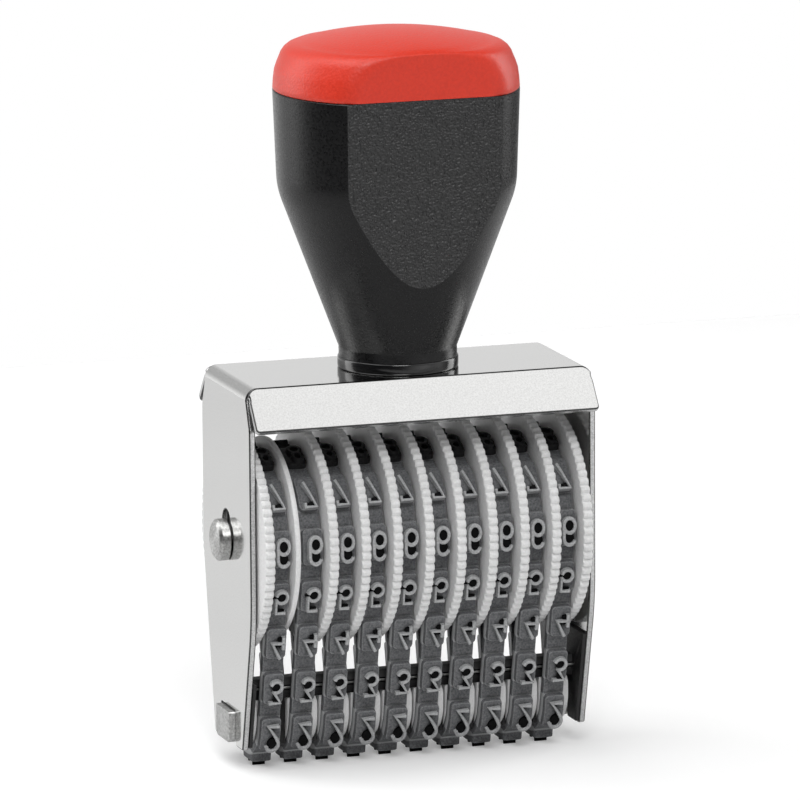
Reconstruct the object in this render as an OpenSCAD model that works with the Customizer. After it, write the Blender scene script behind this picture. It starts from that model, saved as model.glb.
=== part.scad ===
// Ten-band hand numbering stamp.
// Origin: middle of the ground under the stamp. +X to the right, front at -Y, +Z up.

/* [Frame] */
// Thickness of the sheet
sheet_t = 1; // [0.8:0.1:1.2]
// Outer radius of the sheet's bends
bend_r = 1.8; // [1.5:0.1:2.5]
// Height of the finger space between the wheels' rims and the top plate
finger_gap = 7.2; // [6:0.1:12]
// Depth of the flat top plate, front to rear
top_plate_d = 19; // [16:0.5:22]
// Depth of the side plates at the axle
side_d = 24.2; // [21:0.1:28]
// Depth of the side plates at their lower end
side_foot_d = 14; // [12:0.1:16]
// How far below the axle the side plates' front edges start to draw in
front_edge_drop = 10.9; // [6:0.1:14]
// How far below the axle the side plates' rear edges start to draw in
rear_edge_drop = 3.5; // [3:0.1:14]
// Radius of the bend in those edges
side_edge_r = 33; // [20:1:40]
// How far the side plates reach below the foot bar
side_lip = 0.4; // [0.2:0.1:0.8]
// Height of the front and rear flanges, from the top plate's upper face
flange_h = 5.8; // [5:0.1:7]
// Lean of the flanges from the vertical, in degrees
flange_lean = 39; // [30:1:45]

/* [Wheels] */
// Radius of the toothed rim of a setting wheel
rim_r = 16.8; // [15:0.1:20]
// Depth of the teeth on the rim
tooth_h = 0.45; // [0.2:0.05:0.5]
// Number of teeth on the rim
tooth_count = 80; // [60:2:90]
// Thickness of a setting wheel's disc
disc_t = 1.4; // [1.2:0.1:1.7]
// Radius of the drum under a band
drum_r = 11.2; // [9.5:0.1:13]
// How far the smooth spacer disc stays in from the rims
spacer_inset = 1.5; // [1:0.1:2]
// Thickness of the spacer disc
spacer_t = 0.9; // [0.7:0.1:1.1]
// Clearance between the rims and the separator comb
rim_clear = 4; // [2:0.1:5]

/* [Bands] */
// Number of bands
band_count = 10; // [6:1:12]
// Width of a band
band_w = 3.3; // [2.8:0.1:4]
// Thickness of a band's carcass
band_t = 1.2; // [1:0.1:1.5]
// Characters on one band
char_count = 15; // [12:1:18]
// Height of a character pad above the carcass
pad_h = 1; // [0.8:0.1:1.2]
// Length of a character pad along the band
pad_l = 5; // [4.2:0.1:5.4]
// How far a pad stays in from the band's edges
pad_inset = 0.1; // [0.1:0.05:0.3]
// Height of a character above its pad
relief_h = 0.8; // [0.6:0.1:0.9]
// Height of a character
char_h = 4; // [3.3:0.1:4.2]
// Width of a character
char_w = 2.2; // [1.8:0.1:2.6]

/* [Axle] */
// Diameter of the axle
axle_d = 4; // [3.5:0.1:4.8]
// Diameter of the axle's end heads
head_d = 6.4; // [6:0.1:8]
// Length of an end head
head_l = 1.8; // [1.5:0.1:2.2]
// Upward reach of the slot, from the axle to its top
slot_reach = 4.6; // [3.5:0.1:5.5]
// Outside diameter of the washer beside the last wheel
axle_washer_d = 9; // [7.5:0.1:11]
// Thickness of that washer
axle_washer_t = 0.8; // [0.6:0.1:1]

/* [Foot] */
// Depth of the foot bar
foot_bar_d = 6.8; // [6:0.1:8]
// Height of the foot bar
foot_bar_h = 4.9; // [4.1:0.1:5.9]
// Radius of the foot bar's lower edges
foot_bar_r = 1.2; // [0.8:0.1:1.4]
// How far the foot bar's tabs stand out of the side plates
tab_out = 1; // [0.8:0.1:1.5]
// Thickness of a shoe under the foot bar
shoe_sole = 1; // [0.8:0.1:1.4]
// Thickness of a shoe above the foot bar
shoe_roof = 2; // [1.6:0.1:2.4]
// Thickness of a shoe in front of and behind the foot bar
shoe_wall = 2.2; // [1.9:0.1:2.6]
// Radius of the shoe's lower edges
shoe_r = 5; // [4:0.1:6]
// Thickness of the flange beside each shoe
shoe_flange_t = 0.9; // [0.7:0.1:1.1]
// How far the flange stands out in front of and behind its shoe
shoe_flange_out = 0.7; // [0.5:0.1:0.9]
// Height of the separator comb's front wall
comb_h = 3.2; // [2.5:0.1:4]
// Thickness of the comb's front wall
comb_wall = 2; // [1.5:0.1:3]
// Thickness of the comb's floor, which lies on the shoes
comb_floor = 0.9; // [0.7:0.1:1.2]
// How far the comb's right ear rises above its front wall
ear_rise = 4.2; // [2:0.1:5]
// Diameter of the guide wire
wire_d = 0.7; // [0.5:0.1:0.9]

/* [Handle] */
// Radius of the handle where the cap meets it
grip_r = 18.7; // [16:0.1:22]
// Height of the handle from the top plate to the cap
grip_h = 42.7; // [36:0.1:51]
// Distance from the cap down to the start of the taper
shoulder_drop = 15.1; // [12:0.1:18]
// Radius of the shoulder where the taper starts
shoulder_r = 12; // [8:0.5:20]
// Radius of the neck
neck_r = 9; // [8:0.1:10.5]
// Height of the straight neck
neck_h = 1.4; // [1:0.1:3]
// Distance from the middle to a facet at the cap joint
facet_y = 14.1; // [12:0.1:16]
// Lean of the facets and sides, in degrees
draft = 2.1; // [1:0.1:3]
// Thickness of the handle's wall
grip_wall = 2.2; // [1.8:0.1:2.6]
// Height of the cap
cap_h = 9; // [7.5:0.1:11]
// Fullness of the cap's dome, where 2 is an ellipse
cap_bulge = 2.65; // [2.2:0.05:3]
// Height of the collar on the top plate
collar_h = 1.8; // [1.5:0.1:2.2]
// How far the collar stands out around the neck
collar_lip = 0.2; // [0.1:0.1:0.6]
// Diameter of the handle screw
screw_d = 5; // [4:0.5:6]
// Length of the handle screw above the top plate's lower face
screw_l = 24; // [18:1:28]

/* [Hidden] */
$fn = 96;

fit = 0.05;             // running fit, on each side
play = 0.15;            // play between faces that pass each other
eps = 0.5;              // overshoot of cutting tools
hair = 0.002;           // overlap of a straight run and the bend that it meets

// The stack along the axle, from the left plate: wheel 1's disc, band 1, spacer disc,
// band 2, disc 2 and so on to disc 10, then the washer.
drum_play = play + fit; // from a disc to the next band
disc_x = band_w / 2 + play;                // band's middle to the near face of its disc
band_pitch = disc_x + disc_t + drum_play + band_w / 2;
stack_l = (band_count - 1) * band_pitch + 2 * (disc_x + disc_t);
plate_in = (stack_l + play + axle_washer_t + 4 * fit) / 2;
frame_w = 2 * (plate_in + sheet_t);

// Heights, from the ground up.
ground_gap = band_t + pad_h + relief_h;    // ground to the band's inner face
foot_bar_z = ground_gap + shoe_sole;
foot_bar_top = foot_bar_z + foot_bar_h;
side_bottom = foot_bar_z - side_lip;
shoe_top = foot_bar_top + shoe_roof;
comb_z = shoe_top + 2 * fit;
comb_top = comb_z + comb_h;
axle_z = comb_top + rim_clear + rim_r;
frame_top = axle_z + rim_r + finger_gap + sheet_t;
neck_z = frame_top + collar_h;
grip_joint = frame_top + grip_h;

bend_relief = 0.6;      // the side bends stop short of the front and rear bends
flange_gap = 0.4;       // the flanges stay clear of the side plates

band_in_r = drum_r + 0.2;                  // inner radius of the band on its drum
band_out_r = band_in_r + band_t;
pad_root = 0.9;         // how deep a pad is rooted in the carcass
shoe_half_d = foot_bar_d / 2 + shoe_wall;
foot_bend_r = min(shoe_r, shoe_half_d - 0.1);
bend_y = shoe_half_d - foot_bend_r;        // centre of the band's lower bend
bend_z = ground_gap + foot_bend_r;

// The straight run of the band is the outer tangent of the drum and the lower bend.
run_rise = axle_z - bend_z;
centre_gap = sqrt(run_rise ^ 2 + bend_y ^ 2);
run_l = sqrt(centre_gap ^ 2 - (band_in_r - foot_bend_r) ^ 2);
run_lean = asin((band_in_r - foot_bend_r) / centre_gap) - atan(bend_y / run_rise);

// Distances along the middle of the carcass, from the middle of the foot forwards.
mid_t = band_t / 2;
bend_arc = (90 - run_lean) * PI / 180 * (foot_bend_r + mid_t);
drum_arc = (180 + 2 * run_lean) * PI / 180 * (band_in_r + mid_t);
to_bend = bend_y;
to_run = to_bend + bend_arc;
to_drum = to_run + run_l;
loop_l = 2 * to_drum + drum_arc;
char_pitch = loop_l / char_count;

shoe_w = band_w + 2 * fit;
shoe_flange_x = shoe_w / 2 + play;         // band's middle to the shoe's flange
shoe_flange_half_d = shoe_half_d + shoe_flange_out;
ear_t = disc_t - shoe_flange_t;
wire_z = comb_top - comb_h / 2;

screw_top = frame_top - sheet_t + screw_l;
screw_hole_r = screw_d / 2 + 0.3;
thread_spare = 1.5;     // depth of the threaded hole past the screw
boss_top = screw_top + thread_spare + 2.5;
boss_r = screw_d / 2 + 3;
grip_floor = 8;         // solid height of the handle above its neck
washer_t = 1;
washer_d = 12;
screw_head_d = 9;
screw_head_h = 3;

function band_x(k) = play - plate_in + disc_t + disc_x + (k - 1) * band_pitch;

steel = "#d9dadb";
plastic_grey = "#d2d2d0";
rubber = "#5b5d60";
black = "#1f2022";
red = "#e2463b";

// ---- shapes -----------------------------------------------------------------

function unit(v) = v / norm(v);

// The corner p between the points a and b, rounded to radius r.
function round_corner(a, p, b, r, steps = 4) =
    let (u = unit(a - p), v = unit(b - p), half = acos(u * v) / 2,
         centre = p + unit(u + v) * r / sin(half), reach = r / tan(half),
         from = p + u * reach - centre, to = p + v * reach - centre)
    [for (i = [0 : steps]) centre + r * unit(from * (steps - i) + to * i)];

// An upright outline between two heights, its lower and upper corners rounded.
module rounded_outline(half, low, high, low_r, high_r) {
    intersection() {
        union() {
            for (s = [-1, 1]) {
                translate([s * (half - low_r), low + low_r]) circle(low_r);
                translate([s * (half - high_r), high - high_r]) circle(high_r);
            }
            translate([-half, low + low_r]) square([2 * half, high - high_r - low - low_r]);
            translate([-half + low_r, low]) square([2 * (half - low_r), low_r]);
            translate([-half + high_r, high - high_r]) square([2 * (half - high_r), high_r]);
        }
        translate([-half, low]) square([2 * half, high - low]);
    }
}

// A flat outline in Y and Z given a thickness along X, from x0 upwards.
module slab(x0, t) {
    translate([x0, 0, 0]) rotate([90, 0, 90]) linear_extrude(t) children();
}

module rod(x0, l, r, z = axle_z, y = 0) {
    translate([x0, y, z]) rotate([0, 90, 0]) cylinder(h = l, r = r);
}

module ring(x0, l, r, hole_r) {
    difference() {
        rod(x0, l, r);
        rod(x0 - eps, l + 2 * eps, hole_r);
    }
}

// ---- frame ------------------------------------------------------------------

// Quarter of a bend's section, its outer face towards +X and +Y.
module bend_outline(angle) {
    far = bend_r + eps;
    intersection() {
        difference() {
            circle(bend_r);
            circle(bend_r - sheet_t);
        }
        polygon([[0, 0], [far * cos(angle), far * sin(angle)], [far, far], [0, far]]);
    }
}

module flange_outline() {
    reach = (flange_h - bend_r * (1 - sin(flange_lean))) / cos(flange_lean);
    translate([-top_plate_d / 2, frame_top - bend_r]) {
        mirror([1, 0]) bend_outline(flange_lean);
        rotate(180 - flange_lean) translate([bend_r - sheet_t, -hair]) square([sheet_t, reach + hair]);
    }
}

module side_outline() {
    top_y = top_plate_d / 2 - bend_relief;
    top_z = frame_top - bend_r;
    shoulder_z = frame_top - flange_h - flange_gap;
    front = [[-side_d / 2, shoulder_z], [-side_d / 2, axle_z - front_edge_drop],
             [-side_foot_d / 2, side_bottom]];
    rear = [[side_foot_d / 2, side_bottom], [side_d / 2, axle_z - rear_edge_drop],
            [side_d / 2, shoulder_z]];
    polygon(concat(
        [[-top_y, top_z], front[0]], round_corner(front[0], front[1], front[2], side_edge_r),
        [front[2], rear[0]], round_corner(rear[0], rear[1], rear[2], side_edge_r),
        [rear[2], [top_y, top_z]]));
}

module slot_outline() {
    slot_r = axle_d / 2 + fit;
    for (z = [0, slot_reach - slot_r]) translate([0, axle_z + z]) circle(slot_r);
    translate([-slot_r, axle_z]) square([2 * slot_r, slot_reach - slot_r]);
}

// An opening for the foot bar that is open towards the ground.
module foot_bar_notch(gap) {
    translate([-foot_bar_d / 2 - gap, side_bottom - eps])
        square([foot_bar_d + 2 * gap, foot_bar_top + gap - side_bottom + eps]);
}

module frame() {
    flat_w = frame_w - 2 * bend_r;
    bend_d = top_plate_d - 2 * bend_relief;
    color(steel) {
        translate([0, 0, frame_top - sheet_t]) difference() {
            translate([-flat_w / 2, -top_plate_d / 2, 0]) cube([flat_w, top_plate_d, sheet_t]);
            translate([0, 0, -eps]) cylinder(h = sheet_t + 2 * eps, r = screw_hole_r);
        }
        for (end = [0, 1]) {
            mirror([end, 0, 0]) {
                slab(plate_in, sheet_t) difference() {
                    side_outline();
                    slot_outline();
                    foot_bar_notch(play);
                }
                translate([flat_w / 2, bend_d / 2, frame_top - bend_r])
                    rotate([90, 0, 0]) linear_extrude(bend_d) bend_outline(0);
            }
            mirror([0, end, 0])
                slab(-frame_w / 2 + flange_gap, frame_w - 2 * flange_gap) flange_outline();
        }
    }
}

// ---- axle -------------------------------------------------------------------

// A turned head, its outer edge bevelled, growing from z = 0 upwards.
module turned_head() {
    bevel = 0.4;
    rotate_extrude() polygon([[0, 0], [head_d / 2, 0], [head_d / 2, head_l - bevel],
                              [head_d / 2 - bevel, head_l], [0, head_l]]);
}

module axle() {
    half_l = frame_w / 2 + play;
    color(steel) {
        rod(-half_l, 2 * half_l, axle_d / 2);
        translate([-half_l, 0, axle_z]) rotate([0, -90, 0]) turned_head();
    }
}

module axle_rivet_head() {
    color(steel) translate([frame_w / 2 + play, 0, axle_z]) rotate([0, 90, 0]) turned_head();
}

module axle_washer() {
    washer_x = plate_in - 2 * fit - axle_washer_t;
    color(steel) ring(washer_x, axle_washer_t, axle_washer_d / 2, axle_d / 2 + fit);
}

module spacer_disc() {
    color(plastic_grey) ring(band_x(1) + disc_x, spacer_t, rim_r - spacer_inset, axle_d / 2 + fit);
}

// ---- setting wheels -----------------------------------------------------------

// The first wheel and the first shoe face left, all others face right.
module facing(k) {
    translate([band_x(k), 0, 0]) mirror([k == 1 ? 1 : 0, 0, 0]) children();
}

module toothed_outline() {
    polygon([for (i = [0 : 2 * tooth_count - 1])
        let (a = i * 180 / tooth_count, r = rim_r - (i % 2) * tooth_h) [r * cos(a), r * sin(a)]]);
}

module wheel(k) {
    drum_x = -band_w / 2 - fit;
    color(plastic_grey) facing(k) difference() {
        union() {
            translate([disc_x, 0, axle_z]) rotate([0, 90, 0]) linear_extrude(disc_t) toothed_outline();
            rod(drum_x, disc_x + fit - drum_x, drum_r);
        }
        rod(drum_x - eps, disc_x + disc_t + 2 * eps - drum_x, axle_d / 2 + fit);
    }
}

// ---- rubber bands -------------------------------------------------------------

// Where a run leaves a circle of radius r centred at (s * y, z), on the side s.
function tangent_point(s, y, z, r) = [s * (y + r * cos(run_lean)), z - r * sin(run_lean)];

// The closed path of the band at a distance out from its inner face. The straight runs
// lie a hair inside the tangents, so that they cross the round stretches cleanly.
module loop_outline(out) {
    drum = band_in_r + out;
    bend = foot_bend_r + out;
    translate([0, axle_z]) circle(drum);
    for (s = [-1, 1]) translate([s * bend_y, bend_z]) circle(bend);
    polygon([
        tangent_point(-1, 0, axle_z, drum - hair), tangent_point(-1, bend_y, bend_z, bend - hair),
        [-bend_y, bend_z - bend + hair], [bend_y, bend_z - bend + hair],
        tangent_point(1, bend_y, bend_z, bend - hair), tangent_point(1, 0, axle_z, drum - hair)]);
}

// Puts a child drawn on the carcass's outer face, its height along -Z, at a distance
// along the band from the middle of the foot: foot, bend, run, drum, and round.
module on_band(distance) {
    past_top = distance > loop_l / 2;
    d = past_top ? loop_l - distance : distance;
    bend_turn = (d - to_bend) / bend_arc * (90 - run_lean);
    drum_turn = (d - to_drum) / (band_in_r + mid_t) * 180 / PI;
    mirror([0, past_top ? 1 : 0, 0])
        if (d <= to_bend)
            translate([0, -d, ground_gap - band_t]) children();
        else if (d <= to_run)
            translate([0, -bend_y, bend_z]) rotate([-bend_turn, 0, 0])
                translate([0, 0, -foot_bend_r - band_t]) children();
        else if (d <= to_drum)
            translate([0, -bend_y, bend_z]) rotate([-(90 - run_lean), 0, 0])
                translate([0, -(d - to_run), -foot_bend_r - band_t]) children();
        else
            translate([0, 0, axle_z]) rotate([-(90 - run_lean) - drum_turn, 0, 0])
                translate([0, 0, -band_out_r]) children();
}

// A pad and the plain block that stands for its character.
module character() {
    pad_w = band_w - 2 * pad_inset;
    translate([-pad_w / 2, -pad_l / 2, -pad_h]) cube([pad_w, pad_l, pad_h + pad_root]);
    translate([-char_w / 2, -char_h / 2, -pad_h - relief_h])
        cube([char_w, char_h, relief_h + pad_root]);
}

module band(k) {
    color(rubber) translate([band_x(k), 0, 0]) {
        slab(-band_w / 2, band_w) difference() {
            loop_outline(band_t);
            loop_outline(0);
        }
        for (i = [0 : char_count - 1]) on_band(i * char_pitch) character();
    }
}

// ---- foot -------------------------------------------------------------------

module foot_bar_outline(gap) {
    upper_r = 0.3;
    rounded_outline(foot_bar_d / 2 + gap, foot_bar_z - gap, foot_bar_top + gap,
                    foot_bar_r + gap, upper_r + gap);
}

module foot_bar() {
    half_l = frame_w / 2 + tab_out;
    color(steel) slab(-half_l, 2 * half_l) foot_bar_outline(0);
}

module shoe(k) {
    flange_top_r = 1.2;
    flange_lift = 0.3;
    color(plastic_grey) facing(k) difference() {
        union() {
            slab(-shoe_w / 2, shoe_w + play) intersection() {
                loop_outline(-2 * fit);
                translate([-shoe_half_d, 0]) square([2 * shoe_half_d, shoe_top]);
            }
            slab(shoe_flange_x, shoe_flange_t)
                rounded_outline(shoe_flange_half_d, ground_gap + flange_lift, shoe_top,
                                foot_bend_r, flange_top_r);
        }
        slab(-shoe_w / 2 - eps, shoe_w + play + shoe_flange_t + 2 * eps) foot_bar_outline(fit);
    }
}

// An ear of the comb covers the lower end of a side plate, up to a height.
module ear(top) {
    slab(plate_in - fit - ear_t, ear_t) intersection() {
        side_outline();
        translate([-side_d / 2, foot_bar_z]) square([side_d, top - foot_bar_z]);
    }
}

// The comb straddles the foot bar: its floor lies on the shoes, its wall stands in front,
// its teeth reach down between the shoes and its ears stand against the side plates.
module separator_comb() {
    tooth_half_d = shoe_half_d - 1.2;
    half_l = plate_in - fit;
    color(black) difference() {
        union() {
            translate([-half_l, -shoe_half_d, comb_z]) cube([2 * half_l, comb_wall, comb_h]);
            translate([-half_l, -shoe_half_d, comb_z])
                cube([2 * half_l, 2 * shoe_half_d, comb_floor]);
            for (k = [1 : band_count - 1]) {
                left = band_x(k) + (k == 1 ? shoe_w / 2 : shoe_flange_x + shoe_flange_t) + 2 * fit;
                right = band_x(k + 1) - shoe_w / 2 - 2 * fit;
                translate([left, -tooth_half_d, side_bottom])
                    cube([right - left, 2 * tooth_half_d, comb_z + fit - side_bottom]);
            }
            ear(comb_top + ear_rise);
            mirror([1, 0, 0]) ear(comb_top);
        }
        slab(-plate_in, 2 * plate_in) foot_bar_notch(fit);
        rod(-plate_in, 2 * plate_in, wire_d / 2 + fit, wire_z, -shoe_half_d);
    }
}

// The wire lies in a groove along the comb's wall and ends in its ears.
module guide_wire() {
    half_l = plate_in - 2 * fit;
    color(steel) rod(-half_l, 2 * half_l, wire_d / 2, wire_z, -shoe_half_d);
}

// ---- handle -----------------------------------------------------------------

// Everything between the two leaning facets, moved inwards by a distance.
module between_facets(inset) {
    reach = 2 * grip_r;
    intersection_for(s = [0, 1]) mirror([0, s, 0])
        translate([0, -facet_y + inset, grip_joint]) rotate([-draft, 0, 0])
            translate([-reach, 0, -2 * reach]) cube([2 * reach, 2 * reach, 4 * reach]);
}

// The handle's round form, its sides moved inwards by a distance, up to a height.
module grip_form(inset, top) {
    neck = [neck_r, neck_z + neck_h];
    shoulder = [grip_r - shoulder_drop * tan(draft), grip_joint - shoulder_drop];
    rim = [grip_r, grip_joint];
    side = concat([[neck_r, neck_z], neck], round_corner(neck, shoulder, rim, shoulder_r), [[grip_r, top]]);
    rotate_extrude() polygon(concat([[0, neck_z]], [for (p = side) p - [inset, 0]], [[0, top]]));
}

module handle_body() {
    floor_z = neck_z + neck_h + grip_floor;
    color(black) difference() {
        intersection() {
            grip_form(0, grip_joint);
            between_facets(0);
        }
        difference() {
            intersection() {
                grip_form(grip_wall, grip_joint + eps);
                between_facets(grip_wall);
                translate([0, 0, floor_z]) cylinder(h = grip_h, r = grip_r);
            }
            cylinder(h = boss_top, r = boss_r);
        }
        translate([0, 0, neck_z - eps])
            cylinder(h = screw_top + thread_spare - neck_z + eps, r = screw_d / 2 + fit);
    }
}

module handle_cap() {
    spigot_h = 4;
    spigot_gap = 0.4;
    spigot_wall = 1.7;
    recess_h = 2.2;
    spigot_r = grip_r - grip_wall - spigot_gap;
    facet_inset = grip_wall + 2 * fit;
    dome = [for (a = [0 : 7.5 : 90]) [grip_r * cos(a) ^ (2 / cap_bulge), cap_h * sin(a) ^ (2 / cap_bulge)]];
    color(red) difference() {
        union() {
            intersection() {
                translate([0, 0, grip_joint]) rotate_extrude() polygon(concat([[0, 0]], dome));
                between_facets(0);
            }
            intersection() {
                translate([0, 0, grip_joint - spigot_h]) cylinder(h = spigot_h + eps, r = spigot_r);
                between_facets(facet_inset);
            }
        }
        intersection() {
            translate([0, 0, grip_joint - spigot_h - eps])
                cylinder(h = spigot_h + eps + recess_h, r = spigot_r - spigot_wall);
            between_facets(facet_inset + spigot_wall);
        }
    }
}

module handle_collar() {
    color(black) translate([0, 0, frame_top]) difference() {
        cylinder(h = collar_h, r = neck_r + collar_lip);
        translate([0, 0, -eps]) cylinder(h = collar_h + 2 * eps, r = screw_hole_r);
    }
}

module handle_screw() {
    under = frame_top - sheet_t - washer_t;
    color(steel) {
        translate([0, 0, under - screw_head_h]) cylinder(h = screw_head_h, r = screw_head_d / 2);
        translate([0, 0, under - fit]) cylinder(h = screw_top - under + fit, r = screw_d / 2);
    }
}

module screw_washer() {
    color(steel) translate([0, 0, frame_top - sheet_t - washer_t]) difference() {
        cylinder(h = washer_t, r = washer_d / 2);
        translate([0, 0, -eps]) cylinder(h = washer_t + 2 * eps, r = screw_hole_r);
    }
}

// ---- assembly ---------------------------------------------------------------

frame();
axle();
axle_rivet_head();
axle_washer();
spacer_disc();
foot_bar();
separator_comb();
guide_wire();
handle_body();
handle_cap();
handle_collar();
handle_screw();
screw_washer();
for (k = [1 : band_count]) wheel(k);
for (k = [1 : band_count]) band(k);
for (k = [1 : band_count]) shoe(k);
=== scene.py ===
from math import asin, atan, atan2, copysign, cos, hypot, pi, radians, sin, tan

import bmesh
import bpy
from mathutils import Matrix, Vector


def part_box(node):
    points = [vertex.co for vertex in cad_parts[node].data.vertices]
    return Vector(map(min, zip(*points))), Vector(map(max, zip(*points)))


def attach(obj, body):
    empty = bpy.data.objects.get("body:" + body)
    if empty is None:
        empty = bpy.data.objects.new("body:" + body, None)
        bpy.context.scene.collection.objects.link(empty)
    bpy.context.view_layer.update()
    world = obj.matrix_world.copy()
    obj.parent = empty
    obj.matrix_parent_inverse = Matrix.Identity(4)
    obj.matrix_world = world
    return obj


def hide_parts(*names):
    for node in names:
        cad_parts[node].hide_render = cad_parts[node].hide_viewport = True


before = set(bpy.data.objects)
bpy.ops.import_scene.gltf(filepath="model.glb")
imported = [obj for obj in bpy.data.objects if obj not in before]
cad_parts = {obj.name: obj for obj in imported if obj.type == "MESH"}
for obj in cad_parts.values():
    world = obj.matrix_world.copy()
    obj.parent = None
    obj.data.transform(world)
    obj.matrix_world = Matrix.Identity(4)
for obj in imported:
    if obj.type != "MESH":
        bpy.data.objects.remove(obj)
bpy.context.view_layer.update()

# ---- Camera -------------------------------------------------------------------
# A long lens in front of the stamp, a little to its left and above it, so that the left
# plate, the flange and the top plate all show. Lengths in this file are in millimetres.

mm = 0.001
view_azimuth = radians(18.308)
view_elevation = radians(11.122)
view_roll = radians(-0.377)
view_distance = 1219.4
view_target = Vector((0.30, 0, 54.56))
focal_length = 361.07
sensor_width = 36

camera_data = bpy.data.cameras.new("camera")
camera_data.lens = focal_length
camera_data.sensor_width = sensor_width
camera_data.clip_end = 20
camera = bpy.data.objects.new("camera", camera_data)
camera.matrix_world = (
    Matrix.Translation(view_target * mm)
    @ Matrix.Rotation(-view_azimuth, 4, "Z")
    @ Matrix.Rotation(pi / 2 - view_elevation, 4, "X")
    @ Matrix.Rotation(view_roll, 4, "Z")
    @ Matrix.Translation((0, 0, view_distance * mm))
)
bpy.context.scene.collection.objects.link(camera)
bpy.context.scene.camera = camera
bpy.context.scene.view_settings.view_transform = "Standard"

# ---- Sheet frame ----------------------------------------------------------------
# The yoke of the stamp: one blank of 1 mm steel sheet, stamped out, its sides bent down
# round a 1.8 mm radius and its front and rear flanges folded down sharp, then
# nickel-plated. The sheared edges are streaked, and their rounded corners are painted
# dark as shade along every fold and edge.

sheet_t = 1.0
corner_w = 0.2               # how far a corner painted dark as shade reaches onto each face beside an edge
side_bend_r = 1.8
side_bend_steps = 8
flange_fold = radians(51)
flange_foot_z = 54.2
flange_corner = 0.6          # rounding of a flange's lower corners
flange_inset = 0.3           # the flanges' ends stay inside the side plates
relief_depth = 0.1           # how far a flange's end is cut back under the side bend
relief_from = 1.5            # where that relief starts, down the flange
relief_to = 2.0
relief_slope = 0.5           # over which the flange's end comes out again
slot_r = 2.05
slot_reach = 4.6             # from the axle's middle up to the slot's upper end
foot_notch_gap = 0.15
notch_corner_r = 0.3
foot_corner_r = 0.5
shoulder_gap = 0.4           # from the flanges' feet down to the side plates' shoulders
shoulder_corner_r = 2
screw_hole_r = 2.8
front_edge_drop = 10.9       # from the axle down to the bend in the side plates' front edges
rear_edge_drop = 3.5         # the same at the rear
side_edge_r = 33
side_half_d = 12.1
side_foot_half_d = 7.0


def box_of(node):
    """A node's lowest and highest corners, in millimetres."""
    low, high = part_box(node)
    return low / mm, high / mm


def rounded(corners, steps=6):
    """A closed outline whose corners are given as x, y and radius."""
    points = []
    for before, here, after in zip(corners[-1:] + corners, corners, corners[1:] + corners[:1]):
        corner = Vector(here[:2])
        if here[2] == 0:
            points.append(corner)
            continue
        back = (Vector(before[:2]) - corner).normalized()
        ahead = (Vector(after[:2]) - corner).normalized()
        half = back.angle(ahead) / 2
        reach = here[2] / tan(half)
        centre = corner + (back + ahead).normalized() * (here[2] / sin(half))
        start = (corner + back * reach - centre).normalized()
        end = (corner + ahead * reach - centre).normalized()
        points += [centre + start.slerp(end, step / steps) * here[2] for step in range(steps + 1)]
    return [p for p, last in zip(points, points[-1:] + points) if (p - last).length > 0.001]


def flat_sheet(bm, *outlines):
    """Fills the space between closed outlines, the first of which goes round the others."""
    edges = []
    corners = []
    for outline in outlines:
        loop = [bm.verts.new((*point, 0)) for point in outline]
        edges += [bm.edges.new(pair) for pair in zip(loop, loop[1:] + loop[:1])]
        corners += loop
    bmesh.ops.triangle_fill(bm, use_beauty=True, edges=edges)
    return corners


def linear(colour):
    """An sRGB hex colour as Blender's linear red, green, blue and alpha."""
    levels = [int(colour[place:place + 2], 16) / 255 for place in (1, 3, 5)]
    return [((v + 0.055) / 1.055) ** 2.4 if v > 0.04045 else v / 12.92 for v in levels] + [1]


def add_node(tree, kind, inputs=None, **settings):
    """Adds a node, makes its settings, and gives its inputs a value or a link."""
    node = tree.nodes.new(kind)
    for name, value in settings.items():
        setattr(node, name, value)
    for name, value in (inputs or {}).items():
        if isinstance(value, bpy.types.NodeSocket):
            tree.links.new(value, node.inputs[name])
        else:
            node.inputs[name].default_value = value
    return node


def new_material(name, colour, roughness, metallic=0.0, ior=None):
    """A material with its plain values set, and the place on the object that its patterns read."""
    material = bpy.data.materials.new(name)
    material.use_nodes = True
    tree = material.node_tree
    shader = tree.nodes["Principled BSDF"]
    shader.inputs["Base Color"].default_value = linear(colour)
    shader.inputs["Roughness"].default_value = roughness
    shader.inputs["Metallic"].default_value = metallic
    if ior:
        shader.inputs["IOR"].default_value = ior
    place = add_node(tree, "ShaderNodeTexCoord").outputs["Object"]
    return material, tree, shader, place


def grain(tree, place, size, detail=2.0):
    """Noise whose spots are about a size in millimetres across."""
    return add_node(tree, "ShaderNodeTexNoise", {
        "Vector": place, "Scale": 1 / (size * mm), "Detail": detail}).outputs["Fac"]


def spread(tree, value, low, high, start=0.3, end=0.7):
    """A pattern's range, from start to end, stretched between two values."""
    return add_node(tree, "ShaderNodeMapRange", {
        "Value": value, "From Min": start, "From Max": end, "To Min": low, "To Max": high}).outputs[0]


def tinted(tree, value, dark, light, start=0.3, end=0.7):
    """A pattern as a run from a dark colour to a light one, each a hex colour or an output."""
    mix = add_node(tree, "ShaderNodeMix", {
        "Factor": spread(tree, value, 0.0, 1.0, start, end)}, data_type="RGBA")
    for colour, socket in ((dark, mix.inputs[6]), (light, mix.inputs[7])):
        if isinstance(colour, str):
            socket.default_value = linear(colour)
        else:
            tree.links.new(colour, socket)
    return mix.outputs[2]


def bumped(tree, shader, height, depth):
    """Raises a pattern by a depth in millimetres."""
    bump = add_node(tree, "ShaderNodeBump", {
        "Height": height, "Strength": 1.0, "Distance": depth * mm})
    tree.links.new(bump.outputs["Normal"], shader.inputs["Normal"])


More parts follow.
